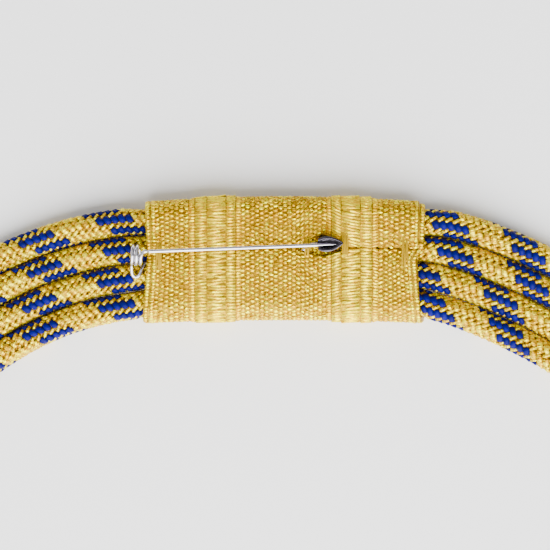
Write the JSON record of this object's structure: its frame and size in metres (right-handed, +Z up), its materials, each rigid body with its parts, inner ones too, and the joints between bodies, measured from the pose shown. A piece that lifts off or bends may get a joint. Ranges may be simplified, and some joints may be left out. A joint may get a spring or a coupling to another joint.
{
  "type": "aiguillette",
  "caption": "Looped uniform aiguillette: gold and blue braided cords gathered by a wrapped gold lace band with a safety pin on its back.",
  "frame": {"origin": "bottom centre of the bounding box of the loops as they lie, on the surface under them", "axes": "+Z up from the surface, out of the pinned back; +Y from the middle of the loops towards the band; +X along the band from the pin's coil to its head"},
  "size_m": [0.2422, 0.247, 0.0107],
  "materials": {
    "gold_blue_cord": "satin",
    "gold_lace": "satin",
    "nickel_steel": "polished"
  },
  "bodies": {
    "band_and_loops": {"cord_loop_1": "gold_blue_cord", "cord_loop_2": "gold_blue_cord", "cord_loop_3": "gold_blue_cord", "cord_loop_4": "gold_blue_cord", "lace_band": "gold_lace", "pin_spring": "nickel_steel", "pin_cap": "nickel_steel"},
    "arm": {"pin_arm": "nickel_steel"}
  },
  "joints": [
    {"name": "pin_arm_hinge", "type": "hinge", "parent": "band_and_loops", "child": "arm", "pos_m": [-0.02473, 0.11344, 0.01018], "axis": [0, -1, 0], "range_deg": [0, 28]}
  ]
}
